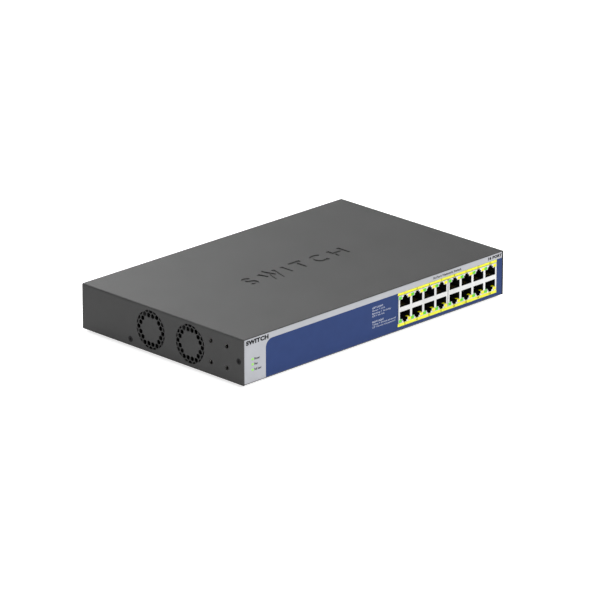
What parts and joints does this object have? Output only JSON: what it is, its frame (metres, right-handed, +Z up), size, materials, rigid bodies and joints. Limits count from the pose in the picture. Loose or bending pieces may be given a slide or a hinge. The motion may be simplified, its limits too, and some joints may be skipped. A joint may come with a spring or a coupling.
{
  "type": "desktop network switch",
  "caption": "Low dark-grey metal desktop network switch: two rows of stepped plug sockets on a silver and blue front, honeycomb fan grilles on one side.",
  "frame": {"origin": "centre of the footprint, on the surface that the feet stand on", "axes": "+X to the right seen from the front, front panel towards -Y, +Z up"},
  "size_m": [0.33, 0.206, 0.045],
  "materials": {
    "top_cover": "fine-textured dark grey powder coat",
    "base_tray": "fine-textured dark grey powder coat",
    "front_label": "printed polycarbonate film, silver and blue",
    "rubber_feet": "matt black",
    "black_screws": "black oxide",
    "zinc_hardware": "bright zinc",
    "black_sheet": "black e-coat",
    "socket_shields": "nickel-plated sheet",
    "socket_plastic": "black moulding",
    "gold_contacts": "gold flash",
    "green_lenses": "clear green",
    "yellow_lenses": "clear yellow",
    "status_lenses": "pale green diffused",
    "black_plastic": "black moulding",
    "green_board": "solder mask over glass laminate",
    "tan_board": "paper laminate",
    "insulation_film": "black polyester sheet",
    "chip_plastic": "moulded epoxy",
    "heatsinks": "extruded",
    "capacitor_sleeve": "printed sleeve, black",
    "ferrite": "sintered ferrite",
    "white_plastic": "off-white moulding",
    "winding_tape": "yellow polyester tape",
    "copper_wire": "enamelled copper",
    "yellow_plastic": "yellow case",
    "inlet_pins": "nickel-plated brass",
    "bright_steel": "ground",
    "bronze": "sintered bronze",
    "wire_sleeve": "insulated wire, several colours"
  },
  "bodies": {
    "case": {"base_tray": "base_tray", "top_cover": "top_cover", "front_label": "front_label", "rubber_feet": "rubber_feet", "cover_screws": "black_screws", "rack_nuts": "zinc_hardware", "ground_screw": "zinc_hardware", "rj45_shield_left": "socket_shields", "rj45_shield_right": "socket_shields", "rj45_housing_left": "socket_plastic", "rj45_housing_right": "socket_plastic", "rj45_contacts_left": "gold_contacts", "rj45_contacts_right": "gold_contacts", "port_leds_green": "green_lenses", "port_leds_yellow": "yellow_lenses", "status_leds": "status_lenses", "led_holder": "black_plastic", "main_board": "green_board", "power_board": "tan_board", "insulation_sheet": "insulation_film", "board_standoffs": "zinc_hardware", "board_screws": "zinc_hardware", "switch_chip": "chip_plastic", "switch_heatsink": "heatsinks", "phy_chips": "chip_plastic", "socket_power_chips": "chip_plastic", "lan_transformers": "chip_plastic", "board_capacitors": "capacitor_sleeve", "board_inductors": "ferrite", "wire_headers": "white_plastic", "transformer_core": "ferrite", "transformer_winding": "winding_tape", "bulk_capacitors": "capacitor_sleeve", "output_capacitors": "capacitor_sleeve", "power_heatsinks": "heatsinks", "power_transistors": "chip_plastic", "filter_choke": "copper_wire", "filter_capacitors": "yellow_plastic", "bridge_rectifier": "chip_plastic", "mains_fuse": "white_plastic", "ac_inlet_body": "black_plastic", "ac_inlet_pins": "inlet_pins", "ac_inlet_screws": "black_screws", "fan_bracket": "black_sheet", "front_fan_frame": "black_plastic", "rear_fan_frame": "black_plastic", "fan_bearings": "bronze", "fan_stators": "bright_steel", "fan_windings": "copper_wire", "fan_screws": "zinc_hardware", "mains_wires": "wire_sleeve", "dc_wires": "wire_sleeve", "fan_leads": "wire_sleeve"},
    "front_fan": {"front_fan_rotor": "black_plastic", "front_fan_shaft": "bright_steel", "front_fan_magnet": "ferrite"},
    "rear_fan": {"rear_fan_rotor": "black_plastic", "rear_fan_shaft": "bright_steel", "rear_fan_magnet": "ferrite"}
  },
  "joints": [
    {"name": "front_fan_spin", "type": "hinge", "parent": "case", "child": "front_fan", "pos_m": [-0.151, -0.036, 0.0238], "axis": [1, 0, 0], "continuous": true},
    {"name": "rear_fan_spin", "type": "hinge", "parent": "case", "child": "rear_fan", "pos_m": [-0.151, 0.014, 0.0238], "axis": [1, 0, 0], "continuous": true}
  ]
}
